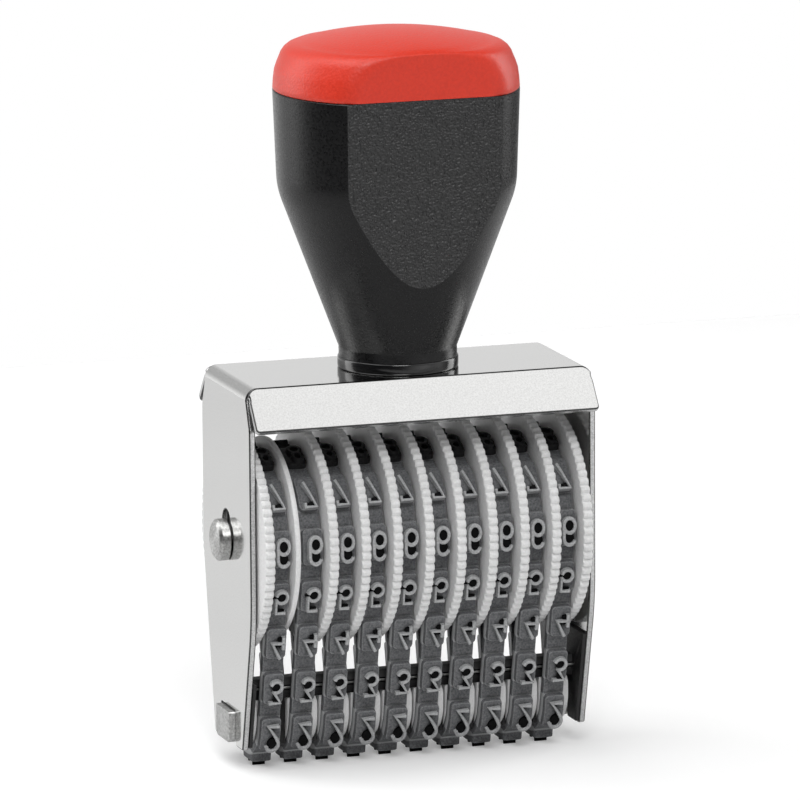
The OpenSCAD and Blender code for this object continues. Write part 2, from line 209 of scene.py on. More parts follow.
def satin_nickel():
    """Nickel plate on rolled sheet: a pale, slightly warm metal with a fine, even grain."""
    material, tree, shader, place = new_material("satin_nickel_sheet", "#dadad9", 0.1, 1.0)
    fine = grain(tree, place, 0.25)
    cloud = grain(tree, place, 9.0)
    tree.links.new(tinted(tree, fine, "#d0d0cf", "#dededd"), shader.inputs["Base Color"])
    tree.links.new(spread(tree, cloud, 0.08, 0.12), shader.inputs["Roughness"])
    bumped(tree, shader, fine, 0.0008)
    return material


def sheared_edge_and_shade(name, colour, dark, light):
    """A cut edge of plated sheet, streaked by the die, and also the rounded corner along each fold
    and edge, painted dark as shade: both throw back less light than the rolled faces."""
    material, tree, shader, place = new_material(name, colour, 0.25, 1.0)
    streaks = grain(tree, place, 0.2)
    tree.links.new(tinted(tree, streaks, dark, light), shader.inputs["Base Color"])
    bumped(tree, shader, streaks, 0.004)
    return material


def make_piece(name, bm, slot, *materials, node=None, body="root", crease=32):
    """Makes a shape drawn in millimetres an object that rides on a body."""
    bmesh.ops.scale(bm, vec=(mm, mm, mm), verts=bm.verts)
    mesh = bpy.data.meshes.new(name)
    bm.to_mesh(mesh)
    bm.free()
    mesh.shade_smooth()
    mesh.set_sharp_from_angle(angle=radians(crease))
    for material in materials:
        mesh.materials.append(material)
    piece = bpy.data.objects.new(name, mesh)
    bpy.context.scene.collection.objects.link(piece)
    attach(piece, body)
    if node:
        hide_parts(node)
    return piece


frame_low, frame_high = box_of("frame")
foot_bar_high = box_of("foot_bar")[1]
axle_low, axle_high = box_of("axle")
axle_z = (axle_low.z + axle_high.z) / 2
frame_top = frame_high.z
flat_half_w = frame_high.x - side_bend_r
bend_l = side_bend_r * pi / 2
flange_drop = frame_top - flange_foot_z
flange_l = flange_drop / sin(flange_fold)
flat_half_d = frame_high.y - flange_drop / tan(flange_fold)


def along_side(z):
    """Where a height on a side plate lies on the flat blank."""
    return flat_half_w + bend_l + frame_top - side_bend_r - z


def side_blank(outwards):
    """Outline of one side on the blank, from the front to the rear of its bend."""
    notch_half_d = foot_bar_high.y + foot_notch_gap
    foot, notch = along_side(frame_low.z), along_side(foot_bar_high.z + foot_notch_gap)
    shoulder = along_side(frame_top - flange_drop - shoulder_gap)
    corners = [
        (flat_half_w, -flat_half_d, 0), (flat_half_w + bend_l, -flat_half_d, 0),
        (shoulder, -side_half_d, shoulder_corner_r),
        (along_side(axle_z - front_edge_drop), -side_half_d, side_edge_r),
        (foot, -side_foot_half_d, foot_corner_r),
        (foot, -notch_half_d, notch_corner_r), (notch, -notch_half_d, notch_corner_r),
        (notch, notch_half_d, notch_corner_r), (foot, notch_half_d, notch_corner_r),
        (foot, side_foot_half_d, foot_corner_r),
        (along_side(axle_z - rear_edge_drop), side_half_d, side_edge_r),
        (shoulder, side_half_d, shoulder_corner_r),
        (flat_half_w + bend_l, flat_half_d, 0), (flat_half_w, flat_half_d, 0)]
    return [(outwards * x, y, r) for x, y, r in corners]


blank = bmesh.new()
slot_low, slot_high = along_side(axle_z - slot_r), along_side(axle_z + slot_reach)
slot_holes = [
    rounded([(s * slot_low, -slot_r, slot_r), (s * slot_low, slot_r, slot_r),
             (s * slot_high, slot_r, slot_r), (s * slot_high, -slot_r, slot_r)])
    for s in (-1, 1)]
screw_hole = rounded([(x * screw_hole_r, y * screw_hole_r, screw_hole_r)
                      for x, y in ((-1, -1), (1, -1), (1, 1), (-1, 1))])
flat_sheet(blank, rounded(side_blank(1) + side_blank(-1)[::-1]), *slot_holes, screw_hole)
for step in range(side_bend_steps + 1):
    for side in (-1, 1):
        bmesh.ops.bisect_plane(
            blank, geom=blank.verts[:] + blank.edges[:] + blank.faces[:],
            plane_co=(side * (flat_half_w + bend_l * step / side_bend_steps), 0, 0),
            plane_no=(1, 0, 0))
for vert in blank.verts:
    beyond = abs(vert.co.x) - flat_half_w
    if beyond > 0:
        turn = min(beyond / side_bend_r, pi / 2)
        vert.co.x = copysign(flat_half_w + side_bend_r * sin(turn), vert.co.x)
        vert.co.z = -side_bend_r * (1 - cos(turn)) - max(beyond - bend_l, 0)
bmesh.ops.translate(blank, vec=(0, 0, frame_top), verts=blank.verts)

# A flange's upper corners follow the side bend down to a small relief, then its ends run free.
flange_end = frame_high.x - flange_inset
bend_points = [(flat_half_w + side_bend_r * sin(turn),
                -side_bend_r * (1 - cos(turn)) / sin(flange_fold))
               for turn in (radians(15), radians(30), radians(45), radians(58))]
flange_right = [(flat_half_w, 0, 0)] + [(x, y, 0) for x, y in bend_points] + [
    (flange_end - relief_depth, -relief_from, 0), (flange_end - relief_depth, -relief_to, 0),
    (flange_end, -relief_to - relief_slope, 0), (flange_end, -flange_l, flange_corner)]
flange_left = [(-x, y, r) for x, y, r in flange_right[::-1]]
for turned in (0, pi):
    flange = flat_sheet(blank, rounded(flange_right + flange_left, steps=4))
    bmesh.ops.transform(blank, verts=flange, matrix=(
        Matrix.Rotation(turned, 4, "Z") @ Matrix.Translation((0, -flat_half_d, frame_top))
        @ Matrix.Rotation(flange_fold, 4, "X")))
bmesh.ops.remove_doubles(blank, verts=blank.verts, dist=0.01)
bmesh.ops.dissolve_limit(blank, angle_limit=radians(0.5), verts=blank.verts, edges=blank.edges)
bmesh.ops.recalc_face_normals(blank, faces=blank.faces)
# The frame's third material, on its rounded corners, is painted shade: a dark line along every fold and
# edge.
sheet_frame = make_piece(
    "sheet_frame", blank, "plated_sheet", satin_nickel(),
    sheared_edge_and_shade("sheared_sheet_edge", "#c4c4c4", "#b0b0b0", "#d6d6d6"),
    sheared_edge_and_shade("painted_shade_sheet_corner", "#4c4c4c", "#383838", "#606060"), node="frame", crease=180)
wall = sheet_frame.modifiers.new("sheet", "SOLIDIFY")
wall.thickness = sheet_t * mm
wall.offset = -1
wall.use_even_offset = True
wall.material_offset_rim = 1
# This bevel rounds every fold and edge and gives it the dark corner material, which is painted shade.
shade_corner_bevel = sheet_frame.modifiers.new("edges", "BEVEL")
shade_corner_bevel.width = corner_w * mm
shade_corner_bevel.segments = 2
shade_corner_bevel.limit_method = "ANGLE"
shade_corner_bevel.angle_limit = radians(35)
shade_corner_bevel.use_clamp_overlap = False
shade_corner_bevel.material = 2
sheet_frame.modifiers.new("flat_faces", "WEIGHTED_NORMAL")

# ---- Foot bar -------------------------------------------------------------------
# A plated steel bar under the ten shoes. It passes through both side plates, which hang
# on its tabs; its long edges are rolled round and its ends are sawn and deburred.

bar_edge_r = 0.25


def cad_copy(node):
    """A copy of a node's shape with its loose triangles merged into whole faces."""
    bm = bmesh.new()
    bm.from_mesh(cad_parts[node].data)
    bmesh.ops.scale(bm, vec=(1 / mm, 1 / mm, 1 / mm), verts=bm.verts)
    bmesh.ops.remove_doubles(bm, verts=bm.verts, dist=0.002)
    bmesh.ops.dissolve_limit(bm, angle_limit=radians(0.5), verts=bm.verts, edges=bm.edges)
    return bm


def round_edges(bm, radius, segments=2, sharper_than=40):
    """Rounds every edge whose faces meet at more than an angle."""
    edges = [e for e in bm.edges if e.calc_face_angle(0) > radians(sharper_than)]
    bmesh.ops.bevel(bm, geom=edges, offset=radius, offset_type="OFFSET", segments=segments,
                    affect="EDGES", profile=0.5, material=-1, clamp_overlap=True)
    return bm


def turned_steel():
    """Turned and plated steel: a duller, greyer metal than the sheet, mottled by handling."""
    material, tree, shader, place = new_material("turned_nickel_steel", "#acacab", 0.36, 1.0)
    fine = grain(tree, place, 0.35)
    tree.links.new(tinted(tree, fine, "#8e8e8d", "#c4c4c3"), shader.inputs["Base Color"])
    tree.links.new(spread(tree, fine, 0.32, 0.4), shader.inputs["Roughness"])
    bumped(tree, shader, fine, 0.004)
    return material


plated_steel = turned_steel()
make_piece("foot_bar_rail", round_edges(cad_copy("foot_bar"), bar_edge_r), "plated_sheet",
           plated_steel, node="foot_bar")

# ---- Shoes ----------------------------------------------------------------------
# Ten shoes moulded of grey plastic slide onto the foot bar. Each carries one band round
# the foot, and a thin flange beside it keeps the band off its neighbour.

shoe_edge_r = 0.2


def wheel_grey():
    """Acetal, moulded: a pale grey plastic with a faintly waxy, satin surface."""
    material, tree, shader, place = new_material("grey_acetal", "#e6e6e6", 0.42, ior=1.48)
    fine = grain(tree, place, 0.35)
    tree.links.new(tinted(tree, fine, "#e0e0e0", "#ececec"), shader.inputs["Base Color"])
    tree.links.new(spread(tree, fine, 0.38, 0.5), shader.inputs["Roughness"])
    bumped(tree, shader, fine, 0.006)
    return material


band_numbers = range(1, 11)
grey_acetal = wheel_grey()
for k in band_numbers:
    make_piece(f"foot_shoe_{k}", round_edges(cad_copy(f"shoe_{k}"), shoe_edge_r), "grey_plastic",
               grey_acetal, node=f"shoe_{k}")

# ---- Separator comb and guide wire -------------------------------------------------
# A black plastic comb straddles the foot bar: its teeth part the shoes and its wall stands
# in front of them. A spring-steel wire between its ears keeps the bands in their places.

comb_edge_r = 0.15
wire_share = 0.6             # the drawn wire is thinner than the node that holds its place


def comb_black():
    """ABS with carbon black, moulded: even, dark and dull between the bands."""
    material, tree, shader, place = new_material("black_abs_comb", "#0c0c0d", 0.5, ior=1.53)
    fine = grain(tree, place, 0.3)
    tree.links.new(spread(tree, fine, 0.45, 0.6), shader.inputs["Roughness"])
    bumped(tree, shader, fine, 0.008)
    return material


make_piece("comb", round_edges(cad_copy("separator_comb"), comb_edge_r), "black_plastic",
           comb_black(), node="separator_comb")
wire = cad_copy("guide_wire")
wire_low, wire_high = box_of("guide_wire")
bmesh.ops.scale(wire, vec=(1, wire_share, wire_share), verts=wire.verts,
                space=Matrix.Translation(-(wire_low + wire_high) / 2))
make_piece("wire", wire, "turned_steel", plated_steel, node="guide_wire")

# ---- Setting wheels ----------------------------------------------------------------
# Each band hangs on the drum of its own wheel, moulded in one with a toothed disc that a
# fingertip turns. The first wheel has its disc on the left, all others on the right.

tooth_count = 80
points_per_tooth = 6
tooth_h = 0.45
rim_r = axle_z - box_of("wheel_5")[0].z
disc_t = 1.4
disc_x = 1.8                 # from the band's middle to the near face of its disc
rim_edge = 0.2               # small bevel at both faces of the rim
tooth_flank = 1.8            # the higher, the narrower the notches
drum_r = 11.2
drum_x = -1.7                # the drum's free end
bore_r = 2.05
spacer_edge_r = 0.3


def band_x(k):
    """The middle of a band, along the axle."""
    low, high = box_of(f"band_{k}")
    return (low.x + high.x) / 2


def tooth_share(angle):
    """How much of a tooth stands at an angle: 0 in a notch, 1 on top of a tooth."""
    from_middle = abs((angle * tooth_count / (2 * pi)) % 1 * 2 - 1)
    return min(1, tooth_flank * (1 - from_middle))


def toothed_wheel():
    """A wheel facing right, about the X axis, its band's middle at 0."""
    bm = bmesh.new()
    stations = [(drum_x, drum_r, 0), (disc_x, drum_r, 0), (disc_x, rim_r - rim_edge, tooth_h),
                (disc_x + rim_edge, rim_r, tooth_h), (disc_x + disc_t - rim_edge, rim_r, tooth_h),
                (disc_x + disc_t, rim_r - rim_edge, tooth_h), (disc_x + disc_t, bore_r, 0)]
    first = bmesh.ops.create_circle(
        bm, segments=tooth_count * points_per_tooth, radius=bore_r,
        matrix=Matrix.Translation((drum_x, 0, 0)) @ Matrix.Rotation(pi / 2, 4, "Y"))["verts"]
    first_edges = list({e for v in first for e in v.link_edges})
    edges = first_edges
    for x, radius, notch in stations:
        made = bmesh.ops.extrude_edge_only(bm, edges=edges)["geom"]
        edges = [g for g in made if isinstance(g, bmesh.types.BMEdge)]
        for vert in (g for g in made if isinstance(g, bmesh.types.BMVert)):
            angle = atan2(vert.co.z, vert.co.y)
            reach = radius - notch * (1 - tooth_share(angle))
            vert.co = (x, reach * cos(angle), reach * sin(angle))
    rims = [e for e in edges if all(abs(v.co.x - disc_x - disc_t) < 0.001 for v in e.verts)]
    bmesh.ops.bridge_loops(bm, edges=first_edges + rims)
    bmesh.ops.recalc_face_normals(bm, faces=bm.faces)
    return bm


for k in band_numbers:
    wheel = toothed_wheel()
    facing = -1 if k == 1 else 1
    bmesh.ops.scale(wheel, vec=(facing, 1, 1), verts=wheel.verts)
    bmesh.ops.translate(wheel, vec=(band_x(k), 0, axle_z), verts=wheel.verts)
    bmesh.ops.recalc_face_normals(wheel, faces=wheel.faces)
    make_piece(f"toothed_wheel_{k}", wheel, "grey_plastic", grey_acetal, node=f"wheel_{k}",
               body=f"setting_wheel_{k}", crease=28)

make_piece("spacer", round_edges(cad_copy("spacer_disc"), spacer_edge_r), "grey_plastic",
           grey_acetal, node="spacer_disc")

# ---- Number bands -------------------------------------------------------------------
# Ten endless bands of vulcanised rubber, all moulded alike. Fifteen pads stand on the
# carcass; ten carry a character, which reads the right way round once it is printed.

band_half_w = 1.65
band_t = 1.3
pad_h = 1.0
relief_h = 0.7
pad_w = 3.28
pad_l = 5.1
pad_r = 0.6
pad_draft = 0.1              # how far a pad draws in towards its top
pad_root = 0.8               # how deep a pad is rooted in the carcass
pad_edge = 0.14
pad_count = 15
pad_ahead = 0.45             # the pads' middles lie this far ahead of their characters'
shade_pool_h = 0.4                 # how far the patches of painted shade stand up in a character's counters
bend_step = 0.5              # the longest part of a pad that stays straight on a bend
top_shade_places = (7, 8, 9)   # the pads near the top of the drum, painted nearly black as shade
ground_gap = band_t + pad_h + relief_h
foot_bend_r = 5.0
band_gap = 0.2               # between a drum and its band's inner face
drum_band_r = drum_r + band_gap
bend_y = 0.6
bend_z = ground_gap + foot_bend_r
run_rise = axle_z - bend_z
centre_gap = hypot(run_rise, bend_y)
run_l = (centre_gap ** 2 - (drum_band_r - foot_bend_r) ** 2) ** 0.5
run_lean = asin((drum_band_r - foot_bend_r) / centre_gap) - atan(bend_y / run_rise)
bend_turn = pi / 2 - run_lean
drum_turn = pi + 2 * run_lean
to_run = bend_y + bend_turn * (foot_bend_r + band_t / 2)
to_drum = to_run + run_l
loop_l = 2 * to_drum + drum_turn * (drum_band_r + band_t / 2)


def on_band(distance):
    """The place on the carcass's outer face at a distance along the band from mid-foot."""
    behind = distance > loop_l / 2
    d = loop_l - distance if behind else distance
    foot_centre = Matrix.Translation((0, -bend_y, bend_z))
    if d <= bend_y:
        place = Matrix.Translation((0, -d, ground_gap - band_t))
    elif d <= to_drum:
        turn = min((d - bend_y) / (foot_bend_r + band_t / 2), bend_turn)
        place = (foot_centre @ Matrix.Rotation(-turn, 4, "X")
                 @ Matrix.Translation((0, -max(d - to_run, 0), -foot_bend_r - band_t)))
    else:
        turn = bend_turn + (d - to_drum) / (drum_band_r + band_t / 2)
        place = (Matrix.Translation((0, 0, axle_z)) @ Matrix.Rotation(-turn, 4, "X")
                 @ Matrix.Translation((0, 0, -drum_band_r - band_t)))
    place = place @ Matrix.Rotation(pi, 4, "Y")
    half_turn = Matrix.Rotation(pi, 4, "Z")
    return half_turn @ place @ half_turn if behind else place


def carcass():
    """The plain endless band, swept round foot, runs and drum."""
    bm = bmesh.new()
    low = ground_gap - band_t
    edge = 0.2
    outline = rounded([(-band_half_w, low, edge), (band_half_w, low, edge),
                       (band_half_w, ground_gap, edge), (-band_half_w, ground_gap, edge)], steps=2)
    section = [bm.verts.new((x, bend_y, z)) for x, z in outline]
    edges = [bm.edges.new(pair) for pair in zip(section, section[1:] + section[:1])]
    along = [(0, -bend_y, bend_z, bend_turn, 12, 2 * bend_y), (0, 0, axle_z, drum_turn, 56, run_l),
             (0, bend_y, bend_z, bend_turn, 12, run_l)]
    heading = Vector((0, -1, 0))
    for x, y, z, turn, steps, run in along:
        made = bmesh.ops.extrude_edge_only(bm, edges=edges)["geom"]
        moved = [g for g in made if isinstance(g, bmesh.types.BMVert)]
        bmesh.ops.translate(bm, vec=heading * run, verts=moved)
        edges = [g for g in made if isinstance(g, bmesh.types.BMEdge)]
        swept = bmesh.ops.spin(bm, geom=edges, cent=(x, y, z), axis=(-1, 0, 0), angle=turn,
                               steps=steps, use_merge=False)["geom_last"]
        edges = [g for g in swept if isinstance(g, bmesh.types.BMEdge)]
        heading.rotate(Matrix.Rotation(-turn, 3, "X"))
    bmesh.ops.remove_doubles(bm, verts=bm.verts, dist=0.02)
    bmesh.ops.recalc_face_normals(bm, faces=bm.faces)
    return bm


def block(outline, bottom, top):
    """A closed solid that stands on an outline, from one height to another."""
    bm = bmesh.new()
    foot = bm.faces.new([bm.verts.new((x, y, bottom)) for x, y in outline])
    made = bmesh.ops.extrude_face_region(bm, geom=[foot])["geom"]
    raised = [g for g in made if isinstance(g, bmesh.types.BMVert)]
    bmesh.ops.translate(bm, vec=(0, 0, top - bottom), verts=raised)
    bmesh.ops.recalc_face_normals(bm, faces=bm.faces)
    return bm, raised


def flat_pad():
    """One raised pad with rounded corners, its sides drawing in towards its top."""
    corners = ((-1, -1), (1, -1), (1, 1), (-1, 1))
    pad, top = block(rounded([(x * pad_w / 2, y * pad_l / 2, pad_r) for x, y in corners], steps=3),
                     -pad_root, pad_h)
    bmesh.ops.scale(pad, vec=(1 - 2 * pad_draft / pad_w, 1 - 2 * pad_draft / pad_l, 1), verts=top)
    rim = [e for e in pad.edges if e.verts[0] in top and e.verts[1] in top]
    bmesh.ops.bevel(pad, geom=rim, offset=pad_edge, offset_type="OFFSET", segments=2,
                    affect="EDGES", profile=0.5, material=-1)
    bmesh.ops.translate(pad, vec=(0, -pad_ahead, 0), verts=pad.verts)
    return pad


def lay_on(band, flat, centre, finish):
    """Bends a flat shape round the carcass and joins it to the band, but keeps straight what
    is in printing position."""
    for face in flat.faces:
        face.material_index = finish
    for step in range(-6, 7):
        bmesh.ops.bisect_plane(flat, geom=flat.verts[:] + flat.edges[:] + flat.faces[:],
                               plane_co=(0, step * bend_step, 0), plane_no=(0, 1, 0))
    bmesh.ops.dissolve_degenerate(flat, dist=0.002, edges=flat.edges)
    for vert in flat.verts:
        x, y, height = vert.co
        if centre == 0:
            vert.co = on_band(0) @ vert.co
        else:
            vert.co = on_band((centre - y) % loop_l) @ Vector((x, 0, height))
    bmesh.ops.recalc_face_normals(flat, faces=flat.faces)
    laid = bpy.data.meshes.new("laid")
    flat.to_mesh(laid)
    flat.free()
    band.from_mesh(laid)
    bpy.data.meshes.remove(laid)


def arc(x, y, half_w, half_h, start, end, steps=10):
    """Points round an ellipse between two angles in degrees."""
    turns = [radians(start + (end - start) * step / steps) for step in range(steps + 1)]
    return [(x + half_w * cos(turn), y + half_h * sin(turn)) for turn in turns]


# Middle lines of the characters' strokes, then the outlines of the black patches of painted
# shade in their counters. A character's bowl lies a little right of its pad's middle.
high, bowl_x, bowl_w, bowl_h = 1.75, 0.28, 0.92, 0.96
strokes = {
    "0": [arc(bowl_x, 0, bowl_w, high, 90, 450, 20)],
    "1": [[(-0.75, 1.0), (-0.2, high), (-0.2, -high)], [(-1.15, -high), (0.75, -high)]],
    "2": [arc(bowl_x, 0.85, bowl_w, 0.9, 165, -25, 10) + [(-0.6, -high), (1.1, -high)]],
    "3": [[(-0.85, high), (1.0, high), (0.0, 0.08)]
          + arc(bowl_x, -0.88, 0.88, 0.9, 108, -162, 12)],
    "4": [[(0.5, 1.85), (-0.72, -0.65), (1.3, -0.65)], [(0.95, 0.35), (0.95, -high)]],
    "5": [[(0.9, high), (-0.56, high), (-0.6, -0.45)]
          + arc(bowl_x, -0.8, 0.9, 0.93, 158, -165, 14)],
    "6": [arc(bowl_x, 0.8, bowl_w, bowl_h, 22, 180, 9) + [(bowl_x - bowl_w, -0.8)],
          arc(bowl_x, -0.8, bowl_w, bowl_h, 191, 551, 16)],
    "7": [[(-0.7, 1.2), (-0.7, high), (1.0, high), (-0.45, -high)]],
    "8": [arc(bowl_x, 0.92, 0.74, 0.8, -90, 270, 16), arc(bowl_x, -0.8, bowl_w, 0.92, 101, 461, 16)],
    "9": [arc(bowl_x, -0.8, bowl_w, bowl_h, 202, 360, 9) + [(bowl_x + bowl_w, 0.8)],
          arc(bowl_x, 0.8, bowl_w, bowl_h, 11, 371, 16)],
}
shade_pools = {
    "0": [arc(bowl_x, 0, 0.8, 1.6, 0, 345, 23)],
    "2": [arc(bowl_x - 0.1, 0.75, 0.72, 0.75, 0, 345, 15)],
    "3": [arc(bowl_x, -0.88, 0.74, 0.76, 0, 345, 15), [(0.0, 0.2), (0.9, high), (-0.1, high)]],
    "4": [[(-0.5, -0.6), (0.95, -0.6), (0.95, -0.1), (-0.2, -0.1)],
          [(0.1, -1.0), (0.95, -0.9), (0.95, -1.7), (0.1, -1.5)]],
    "5": [arc(bowl_x, -0.8, 0.76, 0.78, 0, 345, 15),
          [(-1.1, -0.9), (0, -0.9), (0, -0.7), (-1.1, -0.7)],
          [(-0.4, 1.2), (0.75, 1.2), (0.75, high), (-0.4, high)]],
    "6": [arc(bowl_x, -0.8, 0.78, 0.82, 0, 345, 15), arc(bowl_x, 0.85, 0.74, 0.78, 0, 345, 15)],
    "7": [[(-0.55, 1.25), (-0.5, high), (0.95, high), (0.6, 0.9)]],
    "8": [arc(bowl_x, 0.92, 0.6, 0.66, 0, 345, 15), arc(bowl_x, -0.8, 0.78, 0.78, 0, 345, 15)],
    "9": [arc(bowl_x, 0.8, 0.78, 0.82, 0, 345, 15), arc(bowl_x, -0.85, 0.74, 0.78, 0, 345, 15)],
}
stroke_foot, stroke_top, stroke_r = 0.28, 0.2, 0.08
stroke_root = 0.1            # how deep strokes and the patches of painted shade are rooted in a pad
stroke_section = [(-stroke_foot, -stroke_root), (-stroke_top - stroke_r / 2, relief_h - stroke_r),
                  (-stroke_top + stroke_r / 2, relief_h), (stroke_top - stroke_r / 2, relief_h),
                  (stroke_top + stroke_r / 2, relief_h - stroke_r), (stroke_foot, -stroke_root)]


def line_curve(name, lines, closed=False):
    """A curve object of straight-sided lines."""
    curve = bpy.data.curves.new(name, "CURVE")
    curve.dimensions = "3D"
    curve.twist_mode = "Z_UP"
    for line in lines:
        spline = curve.splines.new("POLY")
        ring = closed or (Vector(line[0]) - Vector(line[-1])).length < 0.001
        points = line[:-1] if ring and not closed else line
        spline.points.add(len(points) - 1)
        for point, (x, y) in zip(spline.points, points):
            point.co = (x, y, 0, 1)
        spline.use_cyclic_u = ring
    made = bpy.data.objects.new(name, curve)
    bpy.context.scene.collection.objects.link(made)
    return made


def character_mesh(sign, section):
    """A character's strokes as raised ridges, mirrored as type is."""
    mirrored = [[(-x, y) for x, y in line] for line in strokes[sign]]
    curve = line_curve(f"strokes_{sign}", mirrored)
    curve.data.bevel_mode = "OBJECT"
    curve.data.bevel_object = section
    curve.data.use_fill_caps = True
    bpy.context.view_layer.update()
    solid = curve.evaluated_get(bpy.context.evaluated_depsgraph_get())
    mesh = bpy.data.meshes.new_from_object(solid)
    bpy.data.objects.remove(curve)
    return mesh


shade_reach = 0.9              # how far painted shade reaches out of a corner
wear_reach = 0.3             # how far in from an edge the rubber is rubbed pale


def band_rubber():
    """Vulcanised rubber with a chalky filler: dark grey and dull, paler where its edges are
    rubbed, with painted shade darkening it to black in its corners, counters and recesses."""
    material, tree, shader, place = new_material("vulcanised_rubber", "#626365", 0.62, ior=1.4)
    fine = grain(tree, place, 0.3, 3.0)
    rubber_tint = tinted(tree, fine, "#4c4d4f", "#757678")
    inner_share = add_node(tree, "ShaderNodeAmbientOcclusion", {"Distance": wear_reach * mm},
                           samples=8, only_local=True, inside=True).outputs["AO"]
    rubbed = tinted(tree, inner_share, "#b0b1b2", rubber_tint, 0.55, 0.85)
    # Painted shade: the rubber turns black where other rubber stands close round it.
    open_share = add_node(tree, "ShaderNodeAmbientOcclusion", {"Distance": shade_reach * mm},
                          samples=8, only_local=True).outputs["AO"]
    tree.links.new(tinted(tree, open_share, "#060607", rubbed, 0.4, 0.85),
                   shader.inputs["Base Color"])
    tree.links.new(spread(tree, fine, 0.55, 0.72), shader.inputs["Roughness"])
    bumped(tree, shader, fine, 0.016)
    return material


def face_rubber():
    """The printing faces: the same rubber, rubbed smooth and paler by the stamp pad."""
    material, tree, shader, place = new_material("rubbed_rubber_face", "#a8a9aa", 0.5, ior=1.5)
    fine = grain(tree, place, 0.25)
    tree.links.new(tinted(tree, fine, "#969798", "#b8b9ba"), shader.inputs["Base Color"])
    bumped(tree, shader, fine, 0.008)
    return material


def top_shade_rubber():
    """Rubber painted nearly black as shade, on the pads near the top of the drum, under the top plate.
    """
    material, tree, shader, place = new_material("painted_shade_dark_rubber", "#1c1c1d", 0.55, ior=1.4)
    fine = grain(tree, place, 0.3, 3.0)
    tree.links.new(tinted(tree, fine, "#131314", "#29292a"), shader.inputs["Base Color"])
    bumped(tree, shader, fine, 0.016)
    return material


def ink_and_painted_shade_rubber():
    """Pigment ink, dried dull, on the characters in printing position; the same black in all counters is
    painted shade.
    """
    material, tree, shader, place = new_material("ink_and_painted_shade_rubber", "#040405", 0.6, ior=1.2)
    fine = grain(tree, place, 0.4)
    tree.links.new(spread(tree, fine, 0.5, 0.75), shader.inputs["Roughness"])
    return material


section = line_curve("stroke_section", [stroke_section], closed=True)
number_band = carcass()
rubbers = band_rubber(), face_rubber(), ink_and_painted_shade_rubber(), top_shade_rubber()
plain, rubbed, ink_and_shade, top_shade = range(len(rubbers))
# Pads and characters near the top of the drum, under the top plate, get rubber painted black as shade.
for place in range(pad_count):
    finish = top_shade if place in top_shade_places else plain
    lay_on(number_band, flat_pad(), place * loop_l / pad_count, finish)
for place, sign in enumerate("1234567890"):
    centre = place * loop_l / pad_count
    ridges = character_mesh(sign, section)
    character = bmesh.new()
    character.from_mesh(ridges)
    bpy.data.meshes.remove(ridges)
    bmesh.ops.remove_doubles(character, verts=character.verts, dist=0.001)
    bmesh.ops.translate(character, vec=(0, 0, pad_h), verts=character.verts)
    finish = ink_and_shade if place == 0 else top_shade if place in top_shade_places else rubbed
    lay_on(number_band, character, centre, finish)
    # The black patches in each character's counters are painted shade.
    for outline in shade_pools.get(sign, []):
        shade_patch, _ = block([(-x, y) for x, y in outline], pad_h - stroke_root, pad_h + shade_pool_h)
        lay_on(number_band, shade_patch, centre, ink_and_shade)
bpy.data.objects.remove(section)
for k in band_numbers:
    copy = number_band.copy()
    bmesh.ops.translate(copy, vec=(band_x(k), 0, 0), verts=copy.verts)
    make_piece(f"number_band_{k}", copy, "dark_rubber", *rubbers, node=f"band_{k}")
number_band.free()

# ---- Axle -----------------------------------------------------------------------
# A turned steel pin through all wheels. Its left head is turned in one with it and the
# right one is riveted on; both have a bevelled edge. A washer fills the last gap.

head_r = 3.2
head_l = 1.8
shaft_r = 2.0
ring_radii = (0.5, 1.1, 1.7, 2.2)
ring_depth = 0.04
ring_half_w = 0.12
head_gap = 0.15              # between a side plate and a head
washer_edge_r = 0.12
plate_out = frame_high.x + head_gap


def turned(profile, steps=64):
    """A closed solid turned about the X axis from points of x and radius."""
    bm = bmesh.new()
    points = [bm.verts.new((x, 0, radius)) for x, radius in profile]
    edges = [bm.edges.new(pair) for pair in zip(points, points[1:])]
    bmesh.ops.spin(bm, geom=points + edges, cent=(0, 0, 0), axis=(1, 0, 0), angle=2 * pi,
                   steps=steps, use_merge=True)
    bmesh.ops.remove_doubles(bm, verts=bm.verts, dist=0.002)
    bmesh.ops.recalc_face_normals(bm, faces=bm.faces)
    return bm


def head_profile(tip):
    """A head from the middle of its face, which the tool left ringed, back to its seat."""
    rings = [point for r in ring_radii
             for point in ((tip, r - ring_half_w), (tip - ring_depth, r), (tip, r + ring_half_w))]
    return [(tip - ring_depth, 0)] + rings + [
        (tip, head_r - 0.62), (tip - 0.05, head_r - 0.5), (tip - 0.42, head_r - 0.06),
        (tip - 0.52, head_r), (tip - head_l + 0.1, head_r), (tip - head_l, head_r - 0.1)]


tip = plate_out + head_l
axle_pin = turned(head_profile(tip) + [(plate_out, shaft_r), (-plate_out, shaft_r), (-plate_out, 0)])
bmesh.ops.scale(axle_pin, vec=(-1, 1, 1), verts=axle_pin.verts)
bmesh.ops.translate(axle_pin, vec=(0, 0, axle_z), verts=axle_pin.verts)
bmesh.ops.recalc_face_normals(axle_pin, faces=axle_pin.faces)
make_piece("axle_pin", axle_pin, "turned_steel", plated_steel, node="axle", crease=22)
rivet = turned(head_profile(tip) + [(plate_out, 0)])
bmesh.ops.translate(rivet, vec=(0, 0, axle_z), verts=rivet.verts)
make_piece("rivet_head", rivet, "turned_steel", plated_steel, node="axle_rivet_head", crease=22)
make_piece("end_washer", round_edges(cad_copy("axle_washer"), washer_edge_r), "turned_steel",
           plated_steel, node="axle_washer")

# ---- Handle ---------------------------------------------------------------------
# A hollow moulding of black ABS, flared to the palm, with a flat facet in front and
# behind. A screw from under the top plate holds it, on a separate glossy collar.

